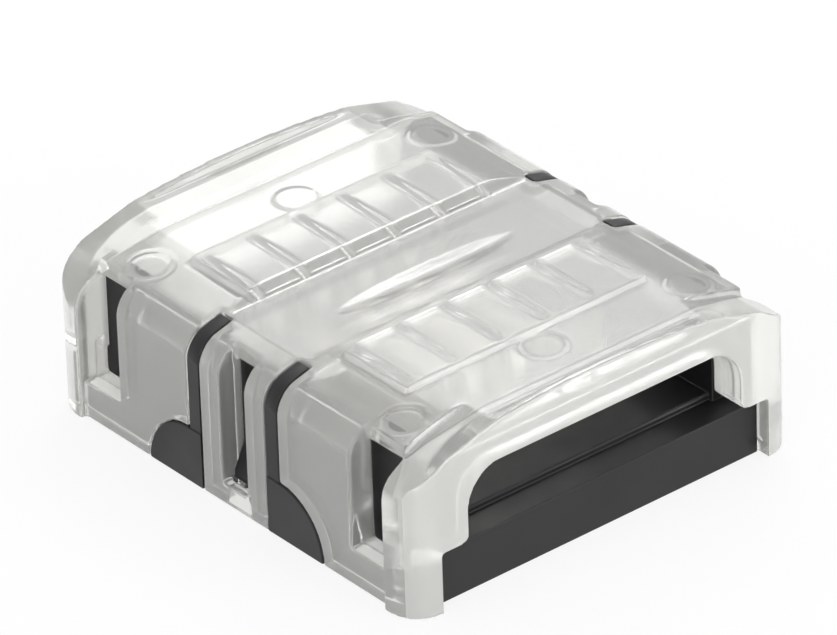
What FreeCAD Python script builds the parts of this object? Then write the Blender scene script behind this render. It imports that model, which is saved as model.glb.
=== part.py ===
import FreeCAD, Part
import math
import os
from types import SimpleNamespace

import Sketcher

# A snap-together connector that joins two ends of LED strip: a clear moulded cover over a dark moulded
# base, with five stamped contacts that pierce the strip from below. X is the width, Y the direction of
# the strip and Z up. The origin is at the middle of the underside. All sizes are millimetres.

# Driving sizes

SIZES = {
    # Strip and running gaps
    "strip_width": 12.0,          # the tape that is pushed in at both ends
    "strip_play": 0.15,           # free room on each side of the tape
    "mould_gap": 0.05,            # between cover and base
    # Cover, outside
    "cover_length": 19.8,
    "cover_wall": 1.1,
    "flange_depth": 1.6,          # thickness of an end frame along the strip
    "flange_step": 0.23,          # how far an end frame stands out from the side wall
    "flange_side_drop": 1.65,     # from the flat top down to the end of the frame's upright side
    "flange_bend_in": 1.6,        # from the side of the frame to the bend in its shoulder
    "flange_bend_drop": 0.62,
    "corner_round": 1.3,
    "top_height": 6.65,
    "crest_rise": 0.28,           # the arched lip at each end, above the flat top
    "crest_depth": 0.37,
    "crest_half": 4.88,           # half the width over which the lip shows
    "side_drop": 1.31,            # from the flat top down to the end of the upright side wall
    "bend_in": 0.48,              # from the side wall to the bend in the shoulder
    "bend_drop": 0.65,
    "flat_in": 2.9,               # from the side wall to where the top runs flat
    "shoulder_round": 1.1,
    "top_round": 4.0,             # where the shoulder runs into the flat top
    "roof_thick": 1.15,
    # Cover, strip entries
    "end_wall": 1.5,
    "entry_lintel": 0.4,          # from the roof's underside down to the top of an entry
    "entry_bottom": 2.4,
    "entry_round": 1.5,
    "jamb_round": 0.3,
    # Cover, latch tongues and windows
    "tongue_width": 3.5,
    "slit_width": 0.75,
    "slit_reach": 1.7,            # how far a slit runs in from the side wall, over the shoulder
    "slit_round": 0.1,
    "notch_round": 2.28,
    "latch_bar": 0.82,            # height of the bar that snaps under the hook
    "latch_bar_thick": 0.42,
    "latch_window": 1.38,
    "window_length": 1.95,
    "window_sill": 1.45,
    "window_over": 0.1,           # how far a window runs in past the wall, under the roof
    "window_roof": 0.88,          # from the side wall to the roof's end above a window
    # Cover, top band and underside
    "band_width": 4.9,
    "band_floor_width": 4.2,
    "band_depth": 0.34,
    "dish_length": 8.2,           # a shallow pointed dish in the floor of the band
    "dish_width": 1.1,
    "dish_depth": 0.1,
    "dish_along": 0.42,           # from the middle towards the front entry
    "comb_start": 2.4,            # from the middle to the recess that clears the prongs
    "comb_length": 3.5,
    "comb_recess": 0.6,           # how far it is let up into the roof
    "comb_border": 0.3,           # from the outer ribs to its sides
    "comb_thick": 0.3,            # of the ribs across it
    "comb_lead": 0.15,            # from the thin end of a rib to the recess's end
    "post_width": 1.6,
    "post_drop": 0.15,            # a post is let into the roof by as much
    "post_side": 6.3,
    "post_along": 6.9,
    "post_middle_along": 6.7,
    # Base
    "base_wall": 1.18,
    "base_length": 18.72,
    "wall_top_gap": 0.15,         # between the side walls and the roof
    "wall_lead": 0.35,            # sloped edge along the top of a side wall
    "sill_height": 2.1,
    "sill_depth": 1.2,
    "bed_step": 0.25,             # the strip bed above the sill
    "bed_round": 0.12,
    "rib_sunk": 0.04,             # face of a slit rib below the cover's outer face
    "hook_width": 1.2,
    "hook_gap": 0.05,             # between hook and latch bar
    "hook_lip": 0.3,
    "hook_height": 1.75,
    "foot_recess": 0.3,
    "foot_border": 1.6,
    # Contacts
    "contact_count": 5,
    "contact_pitch": 2.04,
    "contact_width": 1.0,
    "contact_thick": 0.3,
    "contact_length": 11.0,
    "contact_play": 0.05,
    "prong_along": 4.15,          # from the middle of the connector to a pair of prongs
    "prong_length": 0.9,
    "prong_height": 1.75,
    "prong_tip": 0.12,
    # How far a cutting outline runs past the solid that it cuts
    "run_out": 1.0,
}


class Size:
    """A length that carries its number and the sheet expression that it comes from."""

    def __init__(self, value, text):
        self.value = float(value)
        self.text = text

    def __add__(self, other):
        return Size(self.value + as_size(other).value, f"({self.text} + {as_size(other).text})")

    def __sub__(self, other):
        return Size(self.value - as_size(other).value, f"({self.text} - {as_size(other).text})")

    def __mul__(self, other):
        return Size(self.value * as_size(other).value, f"({self.text} * {as_size(other).text})")

    def __truediv__(self, other):
        return Size(self.value / as_size(other).value, f"({self.text} / {as_size(other).text})")

    def __neg__(self):
        return Size(-self.value, f"(-1 * {self.text})")


def as_size(item):
    return item if isinstance(item, Size) else Size(item, repr(item))


doc = FreeCAD.newDocument("strip_connector")
sheet = doc.addObject("Spreadsheet::Sheet", "sizes")
for row, (alias, number) in enumerate(SIZES.items(), start=1):
    sheet.set(f"A{row}", alias)
    sheet.set(f"B{row}", str(number))
    sheet.setAlias(f"B{row}", alias)
doc.recompute()
d = SimpleNamespace(**{alias: Size(number, f"sizes.{alias}") for alias, number in SIZES.items()})

# Places that several pieces share

ZERO = Size(0, "0")
channel_half = d.strip_width / 2 + d.strip_play
base_half = channel_half + d.base_wall
cover_inner = base_half + d.mould_gap
half_side = cover_inner + d.cover_wall
half_flange = half_side + d.flange_step
half_length = d.cover_length / 2
flange_start = half_length - d.flange_depth
cavity_end = half_length - d.end_wall
roof_under = d.top_height - d.roof_thick
slit_near = d.tongue_width / 2
slit_far = slit_near + d.slit_width
slit_end = half_side - d.slit_reach
window_in = cover_inner - d.window_over
beyond_side = half_flange + d.run_out
beyond_end = half_length + d.run_out
beyond_top = d.top_height + d.crest_rise + d.run_out
bed_top = d.sill_height + d.bed_step


# Outlines and features

def corner(across, up, round=None, through=None):
    """A point of an outline; it may be rounded, and its next side may be an arc through a point."""
    return SimpleNamespace(x=as_size(across), y=as_size(up), round=round, through=through)


def rectangle(left, right, low, high):
    return [corner(left, low), corner(right, low), corner(right, high), corner(left, high)]


def turned(outline, flip_x=False, flip_y=False):
    """The same outline mirrored about one or both axes of its plane."""
    def flip(x, y):
        return (-x if flip_x else x), (-y if flip_y else y)

    points = []
    for point in outline:
        x, y = flip(point.x, point.y)
        through = flip(*point.through) if point.through else None
        points.append(SimpleNamespace(x=x, y=y, round=point.round, through=through))
    return points


def both_sides(outline):
    return [outline, turned(outline, flip_x=True)]


def four_corners(outline):
    return both_sides(outline) + both_sides(turned(outline, flip_y=True))


def vector(x, y):
    return FreeCAD.Vector(x.value, y.value, 0)


def rounded(outline):
    """The outline with each rounded corner replaced by an arc between its two tangent points."""
    points = []
    for i, point in enumerate(outline):
        if not point.round:
            points.append(point)
            continue
        here = vector(point.x, point.y)
        before, after = outline[i - 1], outline[(i + 1) % len(outline)]
        back = (vector(before.x, before.y) - here).normalize()
        ahead = (vector(after.x, after.y) - here).normalize()
        half_angle = back.getAngle(ahead) / 2
        trim = point.round / math.tan(half_angle)
        inward = (back + ahead).normalize()
        depth = point.round * (1 / math.sin(half_angle) - 1)
        middle = (point.x + depth * inward.x, point.y + depth * inward.y)
        points.append(corner(point.x + trim * back.x, point.y + trim * back.y, through=middle))
        points.append(corner(point.x + trim * ahead.x, point.y + trim * ahead.y))
    return points


def hold(sketch, rules):
    """Adds constraints in one go; those with a size are bound to the sheet."""
    first = sketch.ConstraintCount
    constraints = []
    for kind, place, size in rules:
        values = [size.value] if size else []
        constraints.append(Sketcher.Constraint(kind, *place, *values))
    sketch.addConstraint(constraints)
    for i, (kind, place, size) in enumerate(rules):
        if size:
            sketch.setExpression(f"Constraints[{first + i}]", size.text)


def pinned(geometry, end, x, y):
    return [("DistanceX", (-1, 1, geometry, end), x), ("DistanceY", (-1, 1, geometry, end), y)]


def draw_outline(sketch, outline):
    """Draws a closed outline and ties every corner to the sheet."""
    points = rounded(outline)
    places = [vector(point.x, point.y) for point in points]
    sides, rules = [], []
    for i, point in enumerate(points):
        first, last = places[i], places[(i + 1) % len(points)]
        if point.through:
            middle = vector(*point.through)
            turns_left = (middle - first).cross(last - middle).z > 0
            ends = (first, last) if turns_left else (last, first)
            index = sketch.addGeometry(Part.ArcOfCircle(ends[0], middle, ends[1]))
            sides.append((index, 1, 2) if turns_left else (index, 2, 1))
            guide = sketch.addGeometry(Part.Point(middle), True)
            rules += pinned(guide, 1, *point.through)
            rules.append(("PointOnObject", (guide, 1, index), None))
        else:
            sides.append((sketch.addGeometry(Part.LineSegment(first, last)), 1, 2))
    for i, point in enumerate(points):
        before, after = sides[i - 1], sides[i]
        rules.append(("Coincident", (before[0], before[2], after[0], after[1]), None))
        rules += pinned(after[0], after[1], point.x, point.y)
    hold(sketch, rules)


def draw_circle(sketch, x, y, radius):
    circle = sketch.addGeometry(Part.Circle(vector(x, y), FreeCAD.Vector(0, 0, 1), radius.value))
    hold(sketch, pinned(circle, 3, x, y) + [("Radius", (circle,), radius)])


def origin_feature(body, role):
    return next(item for item in body.Origin.OriginFeatures if item.Role == role)


def sketch_on(body, name, role, start, end, outlines, circles):
    """A sketch on a plane of the body, set off to one end of what will be extruded from it."""
    sketch = body.newObject("Sketcher::SketchObject", name + "_sketch")
    sketch.AttachmentSupport = [(origin_feature(body, role), "")]
    sketch.MapMode = "FlatFace"
    offset = -end if role == "XZ_Plane" else start
    sketch.AttachmentOffset = FreeCAD.Placement(FreeCAD.Vector(0, 0, offset.value), FreeCAD.Rotation())
    sketch.setExpression("AttachmentOffset.Base.z", offset.text)
    for outline in outlines:
        draw_outline(sketch, outline)
    for circle in circles:
        draw_circle(sketch, *circle)
    return sketch


def add(body, name, role, start, end, outlines=(), circles=()):
    """Material between two places along the axis that is square to the plane."""
    sketch = sketch_on(body, name, role, start, end, outlines, circles)
    pad = body.newObject("PartDesign::Pad", name)
    pad.Profile = sketch
    pad.Length = (end - start).value
    pad.setExpression("Length", (end - start).text)
    doc.recompute()
    return pad


def cut(body, name, role, start, end, outlines=(), circles=()):
    """A cut between two places along the axis that is square to the plane."""
    sketch = sketch_on(body, name, role, start, end, outlines, circles)
    pocket = body.newObject("PartDesign::Pocket", name)
    pocket.Profile = sketch
    pocket.Length = (end - start).value
    pocket.Reversed = True
    pocket.setExpression("Length", (end - start).text)
    doc.recompute()
    return pocket


def mirror(body, name, feature, role):
    copy = body.newObject("PartDesign::Mirrored", name)
    copy.Originals = [feature]
    copy.MirrorPlane = (origin_feature(body, role), [""])
    body.Tip = copy
    doc.recompute()
    return copy


def repeat_across(body, name, feature, count, pitch):
    """Copies of a feature along X, the first one being the feature itself."""
    pattern = body.newObject("PartDesign::LinearPattern", name)
    pattern.Originals = [feature]
    pattern.Direction = (origin_feature(body, "X_Axis"), [""])
    pattern.Occurrences = round(count.value)
    pattern.Length = (pitch * (count - 1)).value
    pattern.setExpression("Occurrences", count.text)
    pattern.setExpression("Length", (pitch * (count - 1)).text)
    body.Tip = pattern
    doc.recompute()
    return pattern


def new_body(label):
    body = doc.addObject("PartDesign::Body", label)
    body.Label = label
    return body


# Cover

def side_profile():
    """Section of the cover between its end frames, with a bent shoulder on each side."""
    right = [
        corner(half_side, ZERO),
        corner(half_side, d.top_height - d.side_drop, round=d.shoulder_round),
        corner(half_side - d.bend_in, d.top_height - d.bend_drop, round=d.shoulder_round),
        corner(half_side - d.flat_in, d.top_height, round=d.top_round),
    ]
    return right + list(reversed(turned(right, flip_x=True)))


def frame_profile():
    """Outline of an end frame, below its arched lip."""
    right = [
        corner(half_flange, ZERO),
        corner(half_flange, d.top_height - d.flange_side_drop, round=d.shoulder_round),
        corner(half_flange - d.flange_bend_in, d.top_height - d.flange_bend_drop, round=d.shoulder_round),
        corner(d.crest_half, d.top_height),
    ]
    return right + list(reversed(turned(right, flip_x=True)))


def crest_profile():
    """The arched lip, a low segment of a circle that stands on the flat top."""
    peak = (ZERO, d.top_height + d.crest_rise)
    return [corner(-d.crest_half, d.top_height), corner(d.crest_half, d.top_height, through=peak)]


def corner_waste():
    """What is taken off an upright corner of an end frame to round it, seen from above."""
    near_x = half_flange - d.corner_round
    near_y = half_length - d.corner_round
    bulge = d.corner_round * round(math.sqrt(0.5), 6)
    return [
        corner(half_flange, near_y, through=(near_x + bulge, near_y + bulge)),
        corner(near_x, half_length),
        corner(near_x, beyond_end),
        corner(beyond_side, beyond_end),
        corner(beyond_side, near_y),
    ]


def entry_profile():
    """A strip entry above, and the wider gap below it that the base fills."""
    right = [
        corner(cover_inner, -d.run_out),
        corner(cover_inner, d.entry_bottom),
        corner(channel_half, d.entry_bottom, round=d.jamb_round),
        corner(channel_half, roof_under - d.entry_lintel, round=d.entry_round),
    ]
    return right + list(reversed(turned(right, flip_x=True)))


def quarter_disc(near, middle, radius, low):
    """A quarter disc beside the latch tongue, with a strip that runs on under the slit."""
    bulge = radius * round(math.sqrt(0.5), 6)
    return [
        corner(near, low),
        corner(middle + radius, low),
        corner(middle + radius, ZERO, through=(middle + bulge, bulge)),
        corner(middle, radius),
        corner(near, radius),
    ]


def window_profile(low):
    """A window in the side wall: open to the inside below the roof, and let into the roof's edge above."""
    return [
        corner(window_in, low),
        corner(beyond_side, low),
        corner(beyond_side, beyond_top),
        corner(half_side - d.window_roof, beyond_top),
        corner(half_side - d.window_roof, roof_under),
        corner(window_in, roof_under),
    ]


def band_profile():
    """The sunk band across the top, between the slits, with sloped long sides."""
    right = [
        corner(d.band_floor_width / 2, d.top_height - d.band_depth),
        corner(d.band_width / 2, d.top_height),
        corner(d.band_width / 2, beyond_top),
    ]
    return right + list(reversed(turned(right, flip_x=True)))


def cut_dish(body):
    """Turns the pointed dish into the band's floor, about an axis that lies along X above it."""
    half_length = d.dish_length / 2
    radius = ((d.dish_width * d.dish_width) / 4 + d.dish_depth * d.dish_depth) / (d.dish_depth * 2)
    tip_radius = radius - d.dish_depth
    outline = [
        corner(-half_length, ZERO),
        corner(-half_length, -tip_radius, through=(ZERO, -radius)),
        corner(half_length, -tip_radius),
        corner(half_length, ZERO),
    ]
    sketch = sketch_on(body, "dish", "XZ_Plane", -d.dish_along, -d.dish_along, [outline], [])
    axis_height = d.top_height - d.band_depth + tip_radius
    sketch.setExpression("AttachmentOffset.Base.y", axis_height.text)
    groove = body.newObject("PartDesign::Groove", "dish")
    groove.Profile = sketch
    groove.ReferenceAxis = (sketch, ["H_Axis"])
    doc.recompute()
    return groove


def build_cover():
    body = new_body("cover")
    add(body, "cover_block", "XZ_Plane", -flange_start, flange_start, [side_profile()])
    frame = add(body, "end_frame", "XZ_Plane", flange_start, half_length, [frame_profile()])
    mirror(body, "end_frame_back", frame, "XZ_Plane")
    crest = add(body, "crest", "XZ_Plane", half_length - d.crest_depth, half_length, [crest_profile()])
    mirror(body, "crest_back", crest, "XZ_Plane")
    cut(body, "corner_rounds", "XY_Plane", -d.run_out, beyond_top, four_corners(corner_waste()))

    cut(body, "cavity", "XY_Plane", -d.run_out, roof_under,
        [rectangle(-cover_inner, cover_inner, -cavity_end, cavity_end)])
    cut(body, "entries", "XZ_Plane", -beyond_end, beyond_end, [entry_profile()])

    slit = [
        corner(slit_end, slit_near, round=d.slit_round),
        corner(beyond_side, slit_near),
        corner(beyond_side, slit_far),
        corner(slit_end, slit_far, round=d.slit_round),
    ]
    cut(body, "slits", "XY_Plane", -d.run_out, beyond_top, four_corners(slit))
    notch = quarter_disc(slit_near + d.slit_width / 2, slit_far, d.notch_round, -d.run_out)
    cut(body, "finger_notches", "YZ_Plane", -beyond_side, beyond_side, both_sides(notch))

    cut(body, "latch_windows", "XZ_Plane", -d.latch_window / 2, d.latch_window / 2,
        both_sides(window_profile(d.latch_bar)))
    bar_inner = half_side - d.latch_bar_thick
    relief = rectangle(window_in, bar_inner, -d.latch_window / 2, d.latch_window / 2)
    cut(body, "latch_bar_relief", "XY_Plane", -d.run_out, d.latch_bar, both_sides(relief))
    windows = cut(body, "end_windows", "XZ_Plane", flange_start - d.window_length, flange_start,
                  both_sides(window_profile(d.window_sill)))
    mirror(body, "end_windows_back", windows, "XZ_Plane")
    cut(body, "top_band", "YZ_Plane", -beyond_side, beyond_side, [band_profile()])
    cut_dish(body)

    first = -d.contact_pitch * d.contact_count / 2
    ceiling = roof_under + d.comb_recess
    comb_end = d.comb_start + d.comb_length
    recess = rectangle(first - d.comb_border, d.comb_border - first, d.comb_start, comb_end)
    cut(body, "comb_recesses", "XY_Plane", roof_under - d.run_out, ceiling,
        [recess, turned(recess, flip_y=True)])
    wedge = [
        corner(d.comb_start, roof_under),
        corner(comb_end - d.comb_lead, ceiling),
        corner(d.comb_start, ceiling),
    ]
    rib = add(body, "comb_rib", "YZ_Plane", first - d.comb_thick / 2, first + d.comb_thick / 2,
              both_sides(wedge))
    repeat_across(body, "comb", rib, d.contact_count + 1, d.contact_pitch)

    radius = d.post_width / 2
    posts = [(x, y, radius) for y in (d.post_along, -d.post_along) for x in (d.post_side, -d.post_side)]
    posts += [(ZERO, y, radius) for y in (d.post_middle_along, -d.post_middle_along)]
    add(body, "posts", "XY_Plane", roof_under - d.post_drop, roof_under + d.post_drop, circles=posts)
    return body


# Base

def build_base():
    body = new_body("base")
    end = d.base_length / 2
    add(body, "foot", "XY_Plane", ZERO, d.sill_height, [rectangle(-base_half, base_half, -end, end)])
    bed_end = end - d.sill_depth
    bed = [
        corner(-bed_end, d.sill_height),
        corner(bed_end, d.sill_height),
        corner(bed_end, bed_top, round=d.bed_round),
        corner(-bed_end, bed_top, round=d.bed_round),
    ]
    add(body, "bed", "YZ_Plane", -channel_half, channel_half, [bed])

    wall_top = roof_under - d.wall_top_gap
    wall = [
        corner(channel_half, ZERO),
        corner(base_half, ZERO),
        corner(base_half, wall_top),
        corner(channel_half + d.wall_lead, wall_top),
        corner(channel_half, wall_top - d.wall_lead),
    ]
    wall_end = cavity_end - d.mould_gap
    add(body, "side_walls", "XZ_Plane", -wall_end, wall_end, both_sides(wall))

    wing = quarter_disc(slit_near + d.mould_gap, slit_far, d.notch_round - d.mould_gap, ZERO)
    wing = [point for i, point in enumerate(wing) if i != 1]
    wings = add(body, "wings", "YZ_Plane", base_half, half_side, both_sides(wing))
    mirror(body, "wings_left", wings, "YZ_Plane")

    rib_end = slit_end + d.slit_round
    rib_side = half_side - d.rib_sunk
    slope = d.bend_drop / (d.flat_in - d.bend_in)
    rib = [
        corner(rib_end, ZERO),
        corner(rib_side, ZERO),
        corner(rib_side, d.top_height - d.side_drop, round=d.shoulder_round),
        corner(rib_side - d.bend_in, d.top_height - d.bend_drop - d.rib_sunk, round=d.shoulder_round),
        corner(rib_end, d.top_height - d.bend_drop - d.rib_sunk + (rib_side - d.bend_in - rib_end) * slope),
    ]
    ribs = add(body, "slit_ribs", "XZ_Plane", slit_near + d.mould_gap, slit_far - d.mould_gap, both_sides(rib))
    mirror(body, "slit_ribs_back", ribs, "XZ_Plane")

    catch = d.latch_bar + d.hook_gap
    hook_tip = half_side - d.latch_bar_thick - d.hook_gap
    hook = [
        corner(base_half, catch),
        corner(hook_tip, catch),
        corner(hook_tip, catch + d.hook_lip),
        corner(base_half, catch + d.hook_height),
    ]
    add(body, "hooks", "XZ_Plane", -d.hook_width / 2, d.hook_width / 2, both_sides(hook))

    first = -d.contact_pitch * (d.contact_count - 1) / 2
    slot_half = d.contact_width / 2 + d.contact_play
    slot_end = d.contact_length / 2 + d.contact_play
    slot = cut(body, "contact_slot", "XY_Plane", bed_top - d.contact_thick, bed_top + d.run_out,
               [rectangle(first - slot_half, first + slot_half, -slot_end, slot_end)])
    repeat_across(body, "contact_slots", slot, d.contact_count, d.contact_pitch)

    recess = rectangle(-base_half + d.foot_border, base_half - d.foot_border,
                       d.foot_border / 2, end - d.foot_border)
    cut(body, "foot_recesses", "XY_Plane", -d.run_out, d.foot_recess,
        [recess, turned(recess, flip_y=True)])
    return body


# Contacts

def build_contact(number):
    """One stamped strip with a pair of upright prongs at each end, set in its slot of the base."""
    body = new_body(f"contact_{number}")
    under = bed_top - d.contact_thick
    half_width = d.contact_width / 2
    half_run = d.contact_length / 2
    add(body, f"blank_{number}", "XY_Plane", under, bed_top,
        [rectangle(-half_width, half_width, -half_run, half_run)])
    prong = [
        corner(d.prong_along - d.prong_length / 2, under),
        corner(d.prong_along + d.prong_length / 2, under),
        corner(d.prong_along + d.prong_tip / 2, bed_top + d.prong_height),
        corner(d.prong_along - d.prong_tip / 2, bed_top + d.prong_height),
    ]
    prongs = add(body, f"prongs_{number}", "YZ_Plane", half_width - d.contact_thick, half_width,
                 both_sides(prong))
    mirror(body, f"prongs_left_{number}", prongs, "YZ_Plane")
    across = d.contact_pitch * (number - 1) - d.contact_pitch * (d.contact_count - 1) / 2
    body.Placement = FreeCAD.Placement(FreeCAD.Vector(across.value, 0, 0), FreeCAD.Rotation())
    body.setExpression("Placement.Base.x", across.text)
    return body


pieces = [build_cover(), build_base()]
pieces += [build_contact(number) for number in range(1, round(d.contact_count.value) + 1)]
doc.recompute()

# Checks and files

for item in doc.Objects:
    if "Invalid" in item.State or "Error" in item.State:
        raise ValueError(f"{item.Name} is not built")
for piece in pieces:
    if piece.Shape.isNull() or not piece.Shape.isValid():
        raise ValueError(f"{piece.Label} has no valid shape")

os.makedirs("parts", exist_ok=True)
for piece in pieces:
    piece.Shape.exportStep(f"parts/{piece.Label}.step")
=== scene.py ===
"""Looks for a strip connector: a clear moulded cover over a black base, with a row of stamped contacts.

All lengths in the classes are millimetres, and SCALE turns them into Blender's metres.
"""
import logging
import math
from dataclasses import dataclass
from enum import Enum

import bmesh
import bpy
from mathutils import Matrix, Vector

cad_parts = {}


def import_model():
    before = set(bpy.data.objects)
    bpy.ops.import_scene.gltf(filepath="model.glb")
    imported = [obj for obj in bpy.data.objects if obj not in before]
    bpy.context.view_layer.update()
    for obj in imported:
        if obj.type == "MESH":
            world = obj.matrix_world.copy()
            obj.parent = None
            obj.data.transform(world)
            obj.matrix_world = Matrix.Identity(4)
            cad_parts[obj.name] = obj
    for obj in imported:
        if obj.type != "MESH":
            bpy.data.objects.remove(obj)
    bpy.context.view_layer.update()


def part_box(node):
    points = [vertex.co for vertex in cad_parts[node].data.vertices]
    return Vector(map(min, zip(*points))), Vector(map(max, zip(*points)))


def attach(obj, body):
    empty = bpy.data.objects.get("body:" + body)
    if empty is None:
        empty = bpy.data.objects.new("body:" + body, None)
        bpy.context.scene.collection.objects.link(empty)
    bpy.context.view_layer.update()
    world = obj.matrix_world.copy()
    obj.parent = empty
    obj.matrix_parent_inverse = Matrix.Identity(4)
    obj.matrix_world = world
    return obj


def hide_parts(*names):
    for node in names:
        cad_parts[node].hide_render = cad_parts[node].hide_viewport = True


SCALE = 0.001
PHOTO_WIDTH = 837
LOG = logging.getLogger("connector")

WELD_MM = 0.0005  # corners that lie closer are one corner
WHOLE_FACE_FOLD = 0.4  # degrees; triangles that fold less are one flat face of the solid
FLAT_FOLD = 0.3  # degrees; the same for a softened form, whose shallow curves have finer facets
LEAST_FOLD = 15.0  # degrees; a smaller fold is never rounded
CURVE_FOLD = 50.0  # degrees; a sharper fold is a real edge, whatever lies beside it
CURVE_FACET_MM = 0.45  # a narrower facet belongs to a curve
SLIGHT_TURN = 5.0  # degrees; where an edge turns less, it runs on straight
SHARP_TURN = 40.0  # degrees; where an edge turns less, its next piece belongs to the same curve
TURN_SHARE = 0.8  # of a turning edge's own radius that a rounding may use up
ROOM_SHARE = 0.45  # of a neighbouring edge's length that a rounding may use up
FLATTEST = 100  # weight of a face's area in its corners' normals
NOISE_LOW, NOISE_HIGH = 0.3, 0.7  # nearly all of a noise's values lie between these
COLOUR_A, COLOUR_B, COLOUR_OUT = 6, 7, 2  # places of a mix node's colour sockets
WHITE = (1.0, 1.0, 1.0, 1.0)


class Body(Enum):
    """The two bodies that the pieces ride on."""

    BASE = "base_body"
    COVER = "cover_body"


class Slot(Enum):
    """The record's material slots."""

    CLEAR = "clear_cover"
    BLACK = "black_base"
    METAL = "contact_metal"


# Colours, nodes and meshes


def linear(hex_code: str) -> tuple[float, float, float, float]:
    """Turns an sRGB hex colour into linear light.

    Args:
        hex_code: Six hex digits with a leading hash.

    Returns:
        Red, green, blue and an alpha of 1.
    """
    channels = [int(hex_code[i : i + 2], 16) / 255 for i in (1, 3, 5)]
    red, green, blue = (c / 12.92 if c <= 0.04045 else ((c + 0.055) / 1.055) ** 2.4 for c in channels)
    return red, green, blue, 1.0


def add_node(
    tree: bpy.types.NodeTree, kind: str, settings: dict | None = None, inputs: dict | None = None
) -> bpy.types.Node:
    """Adds a node with its settings and links.

    Args:
        tree: The node tree that gets the node.
        kind: The node's type name.
        settings: Properties of the node.
        inputs: Values or linked sockets by input name or index.

    Returns:
        The new node.
    """
    node = tree.nodes.new(kind)
    for name, value in (settings or {}).items():
        setattr(node, name, value)
    for name, value in (inputs or {}).items():
        if isinstance(value, bpy.types.NodeSocket):
            tree.links.new(value, node.inputs[name])
        else:
            node.inputs[name].default_value = value
    return node


def new_material(name: str) -> tuple[bpy.types.Material, bpy.types.NodeTree]:
    """Makes an empty node material.

    Args:
        name: The material's name.

    Returns:
        The material and its node tree.
    """
    material = bpy.data.materials.new(name)
    material.use_nodes = True
    material.node_tree.nodes.clear()
    return material, material.node_tree


def real_coordinates(tree: bpy.types.NodeTree, grain_mm: tuple[float, float, float]) -> bpy.types.NodeSocket:
    """Object coordinates divided by a real grain size, so that a noise of scale 1 has grains that large.

    Args:
        tree: The material's node tree.
        grain_mm: Size of one grain along each axis.

    Returns:
        The socket with the scaled coordinates.
    """
    place = add_node(tree, "ShaderNodeTexCoord")
    per_metre = [1 / (size * SCALE) for size in grain_mm]
    mapping = add_node(
        tree, "ShaderNodeMapping", inputs={"Vector": place.outputs["Object"], "Scale": per_metre}
    )
    return mapping.outputs["Vector"]


def is_real_edge(edge: bmesh.types.BMEdge) -> bool:
    """Tells a fold between real faces from one inside a faceted curve.

    Args:
        edge: The edge, in a mesh whose flat faces are whole.

    Returns:
        True where the edge is to be rounded.
    """
    if len(edge.link_faces) != 2:
        return False
    fold = math.degrees(edge.calc_face_angle(0.0))
    narrowest = min(
        face.calc_area() / max(side.calc_length() for side in face.edges) for face in edge.link_faces
    )
    return fold > LEAST_FOLD and not (fold < CURVE_FOLD and narrowest < CURVE_FACET_MM * SCALE)


def room_beside(edge: bmesh.types.BMEdge, real: set[bmesh.types.BMEdge]) -> float:
    """Finds how far an edge can be rounded before it meets what lies beside it.

    Args:
        edge: The edge to round.
        real: All edges to round.

    Returns:
        The largest radius, in metres.
    """
    room = math.inf
    for vertex in edge.verts:
        along = (edge.other_vert(vertex).co - vertex.co).normalized()
        for other in vertex.link_edges:
            if other is edge:
                continue
            length = other.calc_length()
            away = (other.other_vert(vertex).co - vertex.co).normalized()
            turn = math.pi - along.angle(away, math.pi)
            if other in real and math.degrees(turn) < SHARP_TURN:
                if turn > math.radians(SLIGHT_TURN) and length < CURVE_FACET_MM * SCALE:
                    room = min(room, TURN_SHARE * length / turn)
                continue
            far = other.other_vert(vertex)
            shared = any(item in real for item in far.link_edges if item is not other)
            room = min(room, length * (ROOM_SHARE if shared or other in real else 2 * ROOM_SHARE))
    return room


def mark_real_edges(work: bmesh.types.BMesh, radius_mm: float) -> None:
    """Weights the edges to be rounded, less where there is less room.

    Args:
        work: The mesh, with its flat faces whole.
        radius_mm: Radius of the rounding.
    """
    weight = work.edges.layers.float.new("bevel_weight_edge")
    real = {edge for edge in work.edges if is_real_edge(edge)}
    for edge in real:
        edge[weight] = min(1.0, room_beside(edge, real) / (radius_mm * SCALE))


def welded_mesh(node: str) -> bmesh.types.BMesh:
    """Reads a CAD node's mesh and joins its loose triangles.

    Args:
        node: The CAD node's name.

    Returns:
        The mesh, to be worked on.
    """
    source = bpy.data.objects[node]
    work = bmesh.new()
    work.from_mesh(source.data)
    work.transform(source.matrix_world)
    bmesh.ops.remove_doubles(work, verts=work.verts, dist=WELD_MM * SCALE)
    return work


def merge_flat_faces(work: bmesh.types.BMesh, fold: float) -> None:
    """Clears the edges inside flat faces.

    Args:
        work: The mesh.
        fold: Angle in degrees below which neighbours are one flat face.
    """
    bmesh.ops.dissolve_limit(work, angle_limit=math.radians(fold), verts=work.verts, edges=work.edges)


def new_piece(work: bmesh.types.BMesh, name: str) -> bpy.types.Object:
    """Turns a worked mesh into an object at the origin.

    Args:
        work: The mesh, which is used up.
        name: The new object's name.

    Returns:
        The object, linked to the scene.
    """
    mesh = bpy.data.meshes.new(name)
    work.to_mesh(mesh)
    work.free()
    piece = bpy.data.objects.new(name, mesh)
    bpy.context.scene.collection.objects.link(piece)
    return piece


def plain_mesh(piece: bpy.types.Object) -> bpy.types.Mesh:
    """Works out a piece's modifiers and clears them.

    Args:
        piece: The object.

    Returns:
        A new mesh as its modifiers leave it.
    """
    graph = bpy.context.evaluated_depsgraph_get()
    mesh = bpy.data.meshes.new_from_object(piece.evaluated_get(graph), depsgraph=graph)
    piece.modifiers.clear()
    return mesh


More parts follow.
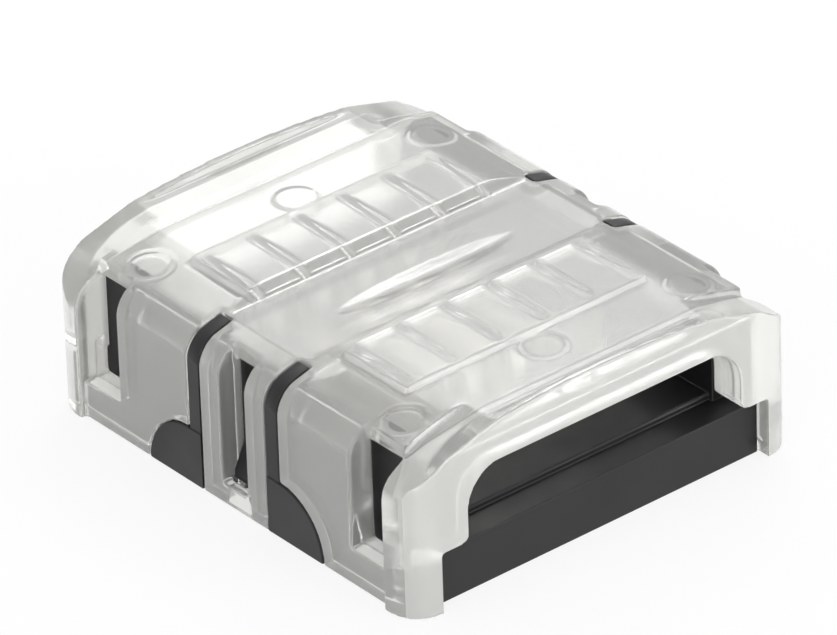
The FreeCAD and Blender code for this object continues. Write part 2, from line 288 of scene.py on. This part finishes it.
def keep_faces_flat(piece: bpy.types.Object) -> None:
    """Shades a piece smooth with normals that follow its large faces.

    Args:
        piece: The object to shade.
    """
    piece.data.shade_smooth()
    normals = piece.modifiers.new("flat_faces_stay_flat", "WEIGHTED_NORMAL")
    normals.mode = "FACE_AREA"
    normals.weight = FLATTEST


def round_edges(piece: bpy.types.Object, radius_mm: float, segments: int) -> None:
    """Rounds every real edge of a piece as a mould or a die leaves it.

    Args:
        piece: The object to finish.
        radius_mm: Radius of the rounding.
        segments: Facets across each rounding.
    """
    bevel = piece.modifiers.new("edge_rounding", "BEVEL")
    bevel.width = radius_mm * SCALE
    bevel.segments = segments
    bevel.limit_method = "WEIGHT"
    bevel.use_clamp_overlap = True
    keep_faces_flat(piece)


def softened_copy(node: str, name: str, grain_mm: float, passes: int, kept: float) -> bpy.types.Object:
    """Copies a CAD node with all its edges and corners softened, as a small clear moulding has them.

    Args:
        node: The CAD node's name.
        name: The new object's name.
        grain_mm: Size of the cells that the form is sampled with.
        passes: How often the sampled form is smoothed; more passes give rounder edges.
        kept: Share of the facets that stays, where the form curves most.

    Returns:
        The copy, linked to the scene.
    """
    copy = new_piece(welded_mesh(node), name)
    sampling = copy.modifiers.new("sampling", "REMESH")
    sampling.mode = "VOXEL"
    sampling.voxel_size = grain_mm * SCALE
    smoothing = copy.modifiers.new("smoothing", "SMOOTH")
    smoothing.iterations = passes
    thinning = copy.modifiers.new("thinning", "DECIMATE")
    thinning.ratio = kept
    copy.data = plain_mesh(copy)
    work = bmesh.new()
    work.from_mesh(copy.data)
    merge_flat_faces(work, FLAT_FOLD)
    work.to_mesh(copy.data)
    work.free()
    keep_faces_flat(copy)
    return copy


def settle(piece: bpy.types.Object, material: bpy.types.Material) -> None:
    """Turns a piece's modifiers into plain mesh and gives it its material.

    Args:
        piece: The object to settle.
        material: Its finish.
    """
    piece.data = plain_mesh(piece)
    piece.data.materials.clear()
    piece.data.materials.append(material)


# Finishes


@dataclass(frozen=True)
class ClearPolycarbonate:
    """Polycarbonate moulded in a polished tool: glossy, clear, with a faint milky haze and flow marks."""

    name: str = "clear_polycarbonate_polished"
    tint: str = "#F8F8F5"
    clear_share: float = 0.8  # the rest scatters light, which is the haze
    ior: float = 1.585
    gloss_low: float = 0.09
    gloss_high: float = 0.2
    haze_cloud_mm: float = 2.5
    flow_wave_mm: tuple[float, float, float] = (3.0, 6.0, 3.0)  # waves lie along the melt's flow
    flow_height_mm: float = 0.006

    @classmethod
    def frosted(cls) -> "ClearPolycarbonate":
        """The same plastic from a blasted face of the tool, which scatters more light."""
        return cls(name="clear_polycarbonate_frosted", clear_share=0.56, gloss_low=0.15, gloss_high=0.25)

    def material(self) -> bpy.types.Material:
        """Builds the cover's material.

        Returns:
            The node material.
        """
        material, tree = new_material(self.name)
        clouds = add_node(
            tree,
            "ShaderNodeTexNoise",
            inputs={"Vector": real_coordinates(tree, (self.haze_cloud_mm,) * 3), "Scale": 1.0, "Detail": 3.0},
        )
        gloss = add_node(
            tree,
            "ShaderNodeMapRange",
            inputs={"Value": clouds.outputs["Fac"], "From Min": NOISE_LOW, "From Max": NOISE_HIGH,
                    "To Min": self.gloss_low, "To Max": self.gloss_high},
        )
        waves = add_node(
            tree,
            "ShaderNodeTexNoise",
            inputs={"Vector": real_coordinates(tree, self.flow_wave_mm), "Scale": 1.0, "Detail": 1.0},
        )
        bump = add_node(
            tree,
            "ShaderNodeBump",
            inputs={"Height": waves.outputs["Fac"], "Strength": 1.0, "Distance": self.flow_height_mm * SCALE},
        )
        shader = add_node(
            tree,
            "ShaderNodeBsdfPrincipled",
            inputs={"Base Color": linear(self.tint), "Roughness": gloss.outputs["Result"], "IOR": self.ior,
                    "Transmission Weight": self.clear_share, "Normal": bump.outputs["Normal"]},
        )
        add_node(tree, "ShaderNodeOutputMaterial", inputs={"Surface": shader.outputs["BSDF"]})
        return material


@dataclass(frozen=True)
class BlackAbs:
    """Black ABS moulded in a spark-eroded tool: a fine even grain that gives a satin sheen."""

    deep: str = "#0F0D0F"
    worn: str = "#1A1719"
    ior: float = 1.49  # ABS has 1.54, and its grain takes some of the gloss away
    grain_mm: float = 0.09  # twice the real grain, so that it shows
    grain_height_mm: float = 0.001
    rough_low: float = 0.38
    rough_high: float = 0.56
    patch_mm: float = 3.0

    def material(self) -> bpy.types.Material:
        """Builds the base's material.

        Returns:
            The node material.
        """
        material, tree = new_material("black_abs_spark_eroded")
        grain = add_node(
            tree,
            "ShaderNodeTexNoise",
            inputs={"Vector": real_coordinates(tree, (self.grain_mm,) * 3), "Scale": 1.0, "Detail": 2.0},
        )
        patches = add_node(
            tree,
            "ShaderNodeTexNoise",
            inputs={"Vector": real_coordinates(tree, (self.patch_mm,) * 3), "Scale": 1.0, "Detail": 2.0},
        )
        colour = add_node(
            tree,
            "ShaderNodeMix",
            settings={"data_type": "RGBA"},
            inputs={"Factor": patches.outputs["Fac"], COLOUR_A: linear(self.deep),
                    COLOUR_B: linear(self.worn)},
        )
        rough = add_node(
            tree,
            "ShaderNodeMapRange",
            inputs={"Value": patches.outputs["Fac"], "From Min": NOISE_LOW, "From Max": NOISE_HIGH,
                    "To Min": self.rough_low, "To Max": self.rough_high},
        )
        bump = add_node(
            tree,
            "ShaderNodeBump",
            inputs={"Height": grain.outputs["Fac"], "Strength": 1.0,
                    "Distance": self.grain_height_mm * SCALE},
        )
        shader = add_node(
            tree,
            "ShaderNodeBsdfPrincipled",
            inputs={"Base Color": colour.outputs[COLOUR_OUT], "Roughness": rough.outputs["Result"],
                    "IOR": self.ior, "Normal": bump.outputs["Normal"]},
        )
        add_node(tree, "ShaderNodeOutputMaterial", inputs={"Surface": shader.outputs["BSDF"]})
        return material


@dataclass(frozen=True)
class TinnedBrass:
    """Brass strip, tin plated and then stamped: soft silver with fine rolling lines along its length."""

    tin: str = "#CBCBC8"
    thin_tin: str = "#B9B4A6"
    line_mm: tuple[float, float, float] = (0.05, 1.5, 0.05)
    line_height_mm: float = 0.002
    rough_low: float = 0.22
    rough_high: float = 0.4

    def material(self) -> bpy.types.Material:
        """Builds the contacts' material.

        Returns:
            The node material.
        """
        material, tree = new_material("tinned_brass_stamped")
        lines = add_node(
            tree,
            "ShaderNodeTexNoise",
            inputs={"Vector": real_coordinates(tree, self.line_mm), "Scale": 1.0, "Detail": 2.0},
        )
        colour = add_node(
            tree,
            "ShaderNodeMix",
            settings={"data_type": "RGBA"},
            inputs={"Factor": lines.outputs["Fac"], COLOUR_A: linear(self.tin),
                    COLOUR_B: linear(self.thin_tin)},
        )
        rough = add_node(
            tree,
            "ShaderNodeMapRange",
            inputs={"Value": lines.outputs["Fac"], "From Min": NOISE_LOW, "From Max": NOISE_HIGH,
                    "To Min": self.rough_low, "To Max": self.rough_high},
        )
        bump = add_node(
            tree,
            "ShaderNodeBump",
            inputs={"Height": lines.outputs["Fac"], "Strength": 1.0, "Distance": self.line_height_mm * SCALE},
        )
        shader = add_node(
            tree,
            "ShaderNodeBsdfPrincipled",
            inputs={"Base Color": colour.outputs[COLOUR_OUT], "Metallic": 1.0,
                    "Roughness": rough.outputs["Result"], "Normal": bump.outputs["Normal"]},
        )
        add_node(tree, "ShaderNodeOutputMaterial", inputs={"Surface": shader.outputs["BSDF"]})
        return material


@dataclass(frozen=True)
class PaleBoard:
    """White table board: the camera sees it as plain white, with part of the object's shadow left on it."""

    paint: str = "#E9E9E9"
    white_share: float = 0.85

    def material(self) -> bpy.types.Material:
        """Builds the floor's material.

        Returns:
            The node material.
        """
        material, tree = new_material("white_table_board")
        path = add_node(tree, "ShaderNodeLightPath")
        seen = add_node(
            tree,
            "ShaderNodeMath",
            settings={"operation": "MAXIMUM"},
            inputs={0: path.outputs["Is Camera Ray"], 1: path.outputs["Is Glossy Ray"]},
        )
        seen = add_node(
            tree,
            "ShaderNodeMath",
            settings={"operation": "MAXIMUM"},
            inputs={0: seen.outputs["Value"], 1: path.outputs["Is Transmission Ray"]},
        )
        share = add_node(
            tree,
            "ShaderNodeMath",
            settings={"operation": "MULTIPLY"},
            inputs={0: seen.outputs["Value"], 1: self.white_share},
        )
        board = add_node(tree, "ShaderNodeBsdfDiffuse", inputs={"Color": linear(self.paint)})
        white = add_node(tree, "ShaderNodeEmission", inputs={"Color": WHITE, "Strength": 1.0})
        mix = add_node(
            tree,
            "ShaderNodeMixShader",
            inputs={0: share.outputs["Value"], 1: board.outputs["BSDF"], 2: white.outputs["Emission"]},
        )
        add_node(tree, "ShaderNodeOutputMaterial", inputs={"Surface": mix.outputs["Shader"]})
        return material


# Pieces


@dataclass
class Cover:
    """The clear moulded cover, with its strip entries, latch tongues, windows and comb."""

    grain: float = 0.06  # size of the cells that the form is sampled with
    passes: int = 12  # of smoothing, which rounds the edges by about 0.2
    kept: float = 0.25  # share of the facets
    end_frame: float = 1.6  # thickness of an end frame along the strip
    upright: float = 0.5  # least share of Y in the normal of an end frame's upright face

    def frost_ends(self, shell: bpy.types.Object, material: bpy.types.Material) -> None:
        """Gives the upright faces of both end frames their own finish.

        Args:
            shell: The cover.
            material: The end faces' finish.
        """
        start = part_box("cover")[1].y - self.end_frame * SCALE
        shell.data.materials.append(material)
        for face in shell.data.polygons:
            if abs(face.center.y) > start and abs(face.normal.y) > self.upright:
                face.material_index = len(shell.data.materials) - 1

    def build(self, polished: ClearPolycarbonate, frosted: ClearPolycarbonate) -> list[bpy.types.Object]:
        """Makes the softened cover from the CAD node.

        Args:
            polished: The cover's finish.
            frosted: The finish of its end frames.

        Returns:
            The finished pieces.
        """
        shell = softened_copy("cover", "cover_shell", self.grain, self.passes, self.kept)
        settle(shell, polished.material())
        self.frost_ends(shell, frosted.material())
        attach(shell, Body.COVER.value)
        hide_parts("cover")
        return [shell]


@dataclass
class Base:
    """The black base, with its sills, side walls, wings and latch hooks."""

    edge_radius: float = 0.07
    edge_segments: int = 2

    def build(self, finish: BlackAbs) -> list[bpy.types.Object]:
        """Makes the rounded base from the CAD node.

        Args:
            finish: The base's finish.

        Returns:
            The finished pieces.
        """
        work = welded_mesh("base")
        merge_flat_faces(work, WHOLE_FACE_FOLD)
        mark_real_edges(work, self.edge_radius)
        tray = new_piece(work, "base_tray")
        round_edges(tray, self.edge_radius, self.edge_segments)
        settle(tray, finish.material())
        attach(tray, Body.BASE.value)
        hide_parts("base")
        return [tray]


@dataclass
class Contacts:
    """The row of stamped contacts, one under each track of the strip."""

    count: int = 5
    thickness: float = 0.3
    prong_along: float = 4.15
    prong_length: float = 0.9
    prong_tip: float = 0.12
    edge_radius: float = 0.03
    edge_segments: int = 2

    def blank(self) -> bpy.types.Object:
        """Makes one contact at the middle of the row.

        Returns:
            A strip with a pair of upright pointed prongs at each end.
        """
        low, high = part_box("contact_1")
        width, length = high.x - low.x, high.y - low.y
        bed = low.z + self.thickness * SCALE
        work = bmesh.new()
        strip = [(-length / 2, low.z), (length / 2, low.z), (length / 2, bed), (-length / 2, bed)]
        self.block(work, strip, -width / 2, width / 2)
        along, sheet = self.prong_along * SCALE, self.thickness * SCALE
        half, tip = self.prong_length / 2 * SCALE, self.prong_tip / 2 * SCALE
        for end in (-1, 1):
            middle = end * along
            foot = [(middle - half, bed), (middle + half, bed)]
            point = [(middle + tip, high.z), (middle - tip, high.z)]
            for side in (-1, 1):
                inner, outer = sorted((side * (width / 2 - sheet), side * width / 2))
                self.block(work, foot + point, inner, outer)
        mark_real_edges(work, self.edge_radius)
        return new_piece(work, "contact_blank")

    @staticmethod
    def block(work: bmesh.types.BMesh, outline: list[tuple[float, float]], left: float, right: float) -> None:
        """Adds a slab between two places across the row.

        Args:
            work: The mesh that gets the slab.
            outline: Its outline as places along the strip and up, counter-clockwise from the right.
            left: Its lower place along X.
            right: Its higher place along X.
        """
        near = [work.verts.new((right, y, z)) for y, z in outline]
        far = [work.verts.new((left, y, z)) for y, z in outline]
        work.faces.new(near)
        work.faces.new(list(reversed(far)))
        for i, vertex in enumerate(near):
            after = (i + 1) % len(near)
            work.faces.new([vertex, far[i], far[after], near[after]])

    def row_tree(self, material: bpy.types.Material) -> bpy.types.NodeTree:
        """Makes the node tree that repeats a contact across the strip.

        Args:
            material: The contacts' finish.

        Returns:
            A tree with inputs for the contact, the count, the first place and the pitch.
        """
        tree = bpy.data.node_groups.new("contact_row", "GeometryNodeTree")
        for name, kind in (("Contact", "NodeSocketObject"), ("Count", "NodeSocketInt"),
                           ("First", "NodeSocketVector"), ("Pitch", "NodeSocketVector")):
            tree.interface.new_socket(name, in_out="INPUT", socket_type=kind)
        tree.interface.new_socket("Row", in_out="OUTPUT", socket_type="NodeSocketGeometry")
        given = add_node(tree, "NodeGroupInput")
        places = add_node(
            tree,
            "GeometryNodeMeshLine",
            inputs={"Count": given.outputs["Count"], "Start Location": given.outputs["First"],
                    "Offset": given.outputs["Pitch"]},
        )
        contact = add_node(tree, "GeometryNodeObjectInfo", inputs={"Object": given.outputs["Contact"]})
        row = add_node(
            tree,
            "GeometryNodeInstanceOnPoints",
            inputs={"Points": places.outputs["Mesh"], "Instance": contact.outputs["Geometry"]},
        )
        real = add_node(tree, "GeometryNodeRealizeInstances", inputs={"Geometry": row.outputs["Instances"]})
        dressed = add_node(
            tree,
            "GeometryNodeSetMaterial",
            inputs={"Geometry": real.outputs["Geometry"], "Material": material},
        )
        add_node(tree, "NodeGroupOutput", inputs={"Row": dressed.outputs["Geometry"]})
        return tree

    def build(self, finish: TinnedBrass) -> list[bpy.types.Object]:
        """Makes the row of contacts.

        Args:
            finish: The contacts' finish.

        Returns:
            The finished pieces.
        """
        material = finish.material()
        blank = self.blank()
        round_edges(blank, self.edge_radius, self.edge_segments)
        settle(blank, material)
        names = [f"contact_{number}" for number in range(1, self.count + 1)]
        middles = [(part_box(name)[0].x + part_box(name)[1].x) / 2 for name in names]
        row = bpy.data.objects.new("contact_row", bpy.data.meshes.new("contact_row"))
        bpy.context.scene.collection.objects.link(row)
        tree = self.row_tree(material)
        modifier = row.modifiers.new("row", "NODES")
        modifier.node_group = tree
        values = {"Contact": blank, "Count": self.count, "First": (middles[0], 0.0, 0.0),
                  "Pitch": (middles[1] - middles[0], 0.0, 0.0)}
        for item in tree.interface.items_tree:
            if item.name in values:
                modifier[item.identifier] = values[item.name]
        settle(row, material)
        bpy.data.objects.remove(blank)
        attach(row, Body.BASE.value)
        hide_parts(*names)
        return [row]


# Stage


@dataclass(frozen=True)
class SoftBox:
    """A soft box aimed at the object, with its place, width and height in millimetres."""

    name: str
    place: tuple[float, float, float]
    size: tuple[float, float]
    watts: float

    def build(self) -> None:
        """Hangs the lamp."""
        data = bpy.data.lights.new(self.name, "AREA")
        data.shape = "RECTANGLE"
        data.size, data.size_y = (side * SCALE for side in self.size)
        data.energy = self.watts
        lamp = bpy.data.objects.new(self.name, data)
        where = Vector(self.place) * SCALE
        lamp.matrix_world = Matrix.Translation(where) @ where.to_track_quat("Z", "Y").to_matrix().to_4x4()
        bpy.context.scene.collection.objects.link(lamp)


@dataclass
class Studio:
    """White table, soft lamps and the camera at the photograph's angle."""

    azimuth: float = -38.92  # degrees from the front towards +X
    elevation: float = 32.006
    roll: float = -1.922
    focal_px: float = 9700.0
    distance: float = 339.7
    nearest: float = 10.0  # of what the camera sees
    furthest: float = 10000.0
    centre_px: tuple[float, float] = (5.26, 104.64)  # from the middle of the picture to the lens axis
    sensor: float = 36.0
    floor_half: float = 600.0
    floor_drop: float = 0.01  # keeps the table out of the plane of the underside
    sky: float = 0.76
    lamps: tuple[SoftBox, ...] = (
        SoftBox("back_box", (60.0, 80.0, 84.0), (36.0, 46.0), 0.0085),  # mirrored by the level faces
        SoftBox("side_box", (64.0, 51.0, 88.0), (40.0, 34.0), 0.024),  # mirrored by the pointed dish
        SoftBox("overhead_box", (0.0, 60.0, 700.0), (500.0, 500.0), 0.8),
        SoftBox("front_box", (300.0, -800.0, 300.0), (400.0, 400.0), 2.8),
        SoftBox("left_box", (-700.0, -350.0, 330.0), (300.0, 300.0), 1.2),
    )

    def camera(self) -> None:
        """Places the camera, aimed so that the middle of the picture is on its axis."""
        turn, lift = math.radians(self.azimuth), math.radians(self.elevation)
        back = Vector((math.sin(turn) * math.cos(lift), -math.cos(turn) * math.cos(lift), math.sin(lift)))
        level = Vector((math.cos(turn), math.sin(turn), 0.0))
        upright = back.cross(level)
        roll = math.radians(self.roll)
        right = level * math.cos(roll) + upright * math.sin(roll)
        up = upright * math.cos(roll) - level * math.sin(roll)
        off_x, off_y = self.centre_px
        aim = (-back * self.focal_px - right * off_x + up * off_y).normalized()
        side = (right - aim * right.dot(aim)).normalized()
        turn_matrix = Matrix((side, side.cross(aim), -aim)).transposed()
        data = bpy.data.cameras.new("product_camera")
        data.sensor_width = self.sensor
        data.lens = self.focal_px / PHOTO_WIDTH * self.sensor
        data.clip_start, data.clip_end = self.nearest * SCALE, self.furthest * SCALE
        camera = bpy.data.objects.new("product_camera", data)
        camera.matrix_world = Matrix.Translation(back * self.distance * SCALE) @ turn_matrix.to_4x4()
        bpy.context.scene.collection.objects.link(camera)
        bpy.context.scene.camera = camera

    def floor(self) -> None:
        """Lays the white table under the object."""
        half = self.floor_half * SCALE
        level = -self.floor_drop * SCALE
        corners = [(x * half, y * half, level) for x, y in ((-1, -1), (1, -1), (1, 1), (-1, 1))]
        mesh = bpy.data.meshes.new("table")
        mesh.from_pydata(corners, [], [(0, 1, 2, 3)])
        mesh.materials.append(PaleBoard().material())
        table = bpy.data.objects.new("table", mesh)
        bpy.context.scene.collection.objects.link(table)

    def world(self) -> None:
        """Gives a white surround to what is seen directly, and a softer one to what lights the object."""
        world = bpy.data.worlds.new("studio")
        world.use_nodes = True
        tree = world.node_tree
        tree.nodes.clear()
        path = add_node(tree, "ShaderNodeLightPath")
        seen = add_node(
            tree,
            "ShaderNodeMath",
            settings={"operation": "MAXIMUM"},
            inputs={0: path.outputs["Is Camera Ray"], 1: path.outputs["Is Transmission Ray"]},
        )
        soft = add_node(tree, "ShaderNodeBackground", inputs={"Color": WHITE, "Strength": self.sky})
        white = add_node(tree, "ShaderNodeBackground", inputs={"Color": WHITE, "Strength": 1.0})
        mix = add_node(
            tree,
            "ShaderNodeMixShader",
            inputs={0: seen.outputs["Value"], 1: soft.outputs["Background"], 2: white.outputs["Background"]},
        )
        add_node(tree, "ShaderNodeOutputWorld", inputs={"Surface": mix.outputs["Shader"]})
        bpy.context.scene.world = world

    def build(self) -> None:
        """Sets up the whole stage."""
        self.world()
        self.floor()
        for box in self.lamps:
            box.build()
        self.camera()
        bpy.context.scene.view_settings.view_transform = "Standard"


def main() -> None:
    """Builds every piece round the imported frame."""
    logging.basicConfig(level=logging.INFO, format="%(name)s: %(message)s")
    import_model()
    pieces = Cover().build(ClearPolycarbonate(), ClearPolycarbonate.frosted())
    pieces += Base().build(BlackAbs())
    pieces += Contacts().build(TinnedBrass())
    for piece in pieces:
        LOG.info("%s has %d faces", piece.name, len(piece.data.polygons))
    Studio().build()


if __name__ == "__main__":
    main()
